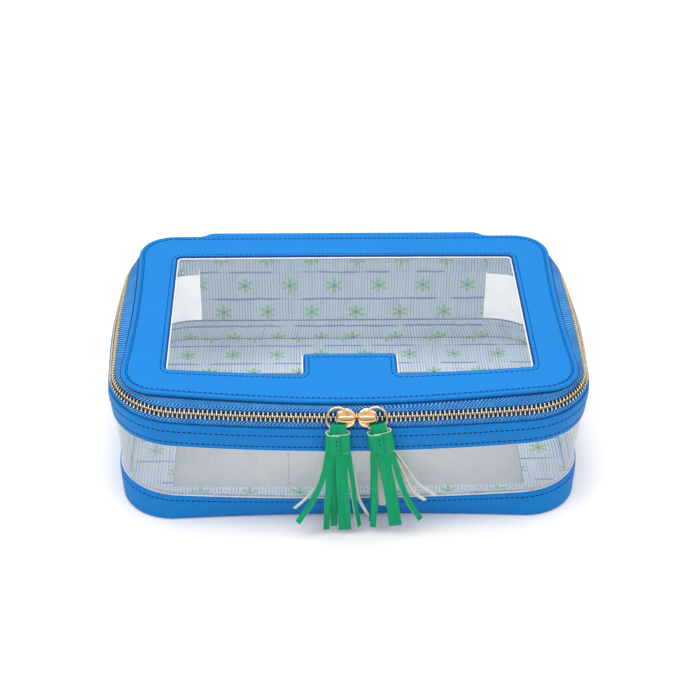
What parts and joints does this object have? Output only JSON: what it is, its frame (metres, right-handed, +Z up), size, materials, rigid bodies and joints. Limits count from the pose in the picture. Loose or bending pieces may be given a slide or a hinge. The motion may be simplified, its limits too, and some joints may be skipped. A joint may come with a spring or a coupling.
{
  "type": "mahjong case",
  "caption": "Soft box-shaped case with clear walls, a hinged windowed lid, leather bands, a metal zip round three sides and tasselled sliders.",
  "frame": {"origin": "on the table, under the middle of the base, halfway between the two sides and between the zip's straight back and its front corners", "axes": "+X to the right seen from the front, +Y to the back where the lid is hinged, +Z up"},
  "size_m": [0.32, 0.2342, 0.1017],
  "materials": {
    "blue_leather": "smooth coated leather, satin, with a fine grain and tonal stitching",
    "clear_sheet": "clear soft vinyl sheet, glossy, slightly milky",
    "printed_lining": "fine woven lining, pale grey-blue with a small stripe print",
    "zip_tape": "herringbone woven zip tape, matt",
    "gold_metal": "polished pale gold plating",
    "green_leather": "smooth coated leather, satin, cream suede back"
  },
  "bodies": {
    "case_shell": {"base_frame": "blue_leather", "base_window": "clear_sheet", "base_lining": "printed_lining", "bottom_band": "blue_leather", "bottom_band_lining": "printed_lining", "clear_wall": "clear_sheet", "back_panel": "blue_leather", "back_lining": "printed_lining", "zip_band": "blue_leather", "zip_band_lining": "printed_lining", "lower_tape": "zip_tape", "lower_teeth": "gold_metal", "zip_end_stops": "gold_metal"},
    "lid": {"lid_frame": "blue_leather", "lid_window": "clear_sheet", "lid_lining": "printed_lining", "lid_piping": "blue_leather", "lid_spine": "blue_leather", "spine_lining": "printed_lining", "upper_tape": "zip_tape", "upper_teeth": "gold_metal"},
    "left_slider": {"slider_left": "gold_metal", "slider_left_back": "gold_metal"},
    "left_pull_ring": {"ring_left": "gold_metal"},
    "left_tassel": {"tassel_left_loop": "green_leather", "tassel_left_collar": "green_leather", "tassel_left_fringe": "green_leather"},
    "right_slider": {"slider_right": "gold_metal", "slider_right_back": "gold_metal"},
    "right_pull_ring": {"ring_right": "gold_metal"},
    "right_tassel": {"tassel_right_loop": "green_leather", "tassel_right_collar": "green_leather", "tassel_right_fringe": "green_leather"}
  },
  "joints": [
    {"name": "lid_hinge", "type": "hinge", "parent": "case_shell", "child": "lid", "pos_m": [0, 0.1102, 0.089], "axis": [-1, 0, 0], "range_deg": [0, 180]},
    {"name": "left_slider_run", "type": "hinge", "parent": "case_shell", "child": "left_slider", "pos_m": [0, 0.86752, 0.0882], "axis": [0, 0, -1], "range_deg": [0, 6.1]},
    {"name": "left_ring_turn", "type": "hinge", "parent": "left_slider", "child": "left_pull_ring", "pos_m": [-0.00182, -0.11758, 0.0901], "axis": [0.0016, 0.4226, 0.9063], "range_deg": [0, 80]},
    {"name": "left_tassel_swing", "type": "hinge", "parent": "left_pull_ring", "child": "left_tassel", "pos_m": [-0.00913, -0.12064, 0.08349], "axis": [-1, 0, 0], "range_deg": [0, 80]},
    {"name": "right_slider_run", "type": "hinge", "parent": "case_shell", "child": "right_slider", "pos_m": [0, 0.86752, 0.0882], "axis": [0, 0, 1], "range_deg": [0, 5.75]},
    {"name": "right_ring_turn", "type": "hinge", "parent": "right_slider", "child": "right_pull_ring", "pos_m": [0.00784, -0.11755, 0.0901], "axis": [0.0042, -0.4226, -0.9063], "range_deg": [0, 80]},
    {"name": "right_tassel_swing", "type": "hinge", "parent": "right_pull_ring", "child": "right_tassel", "pos_m": [0.01517, -0.12056, 0.08349], "axis": [-1, 0, 0], "range_deg": [0, 80]}
  ]
}
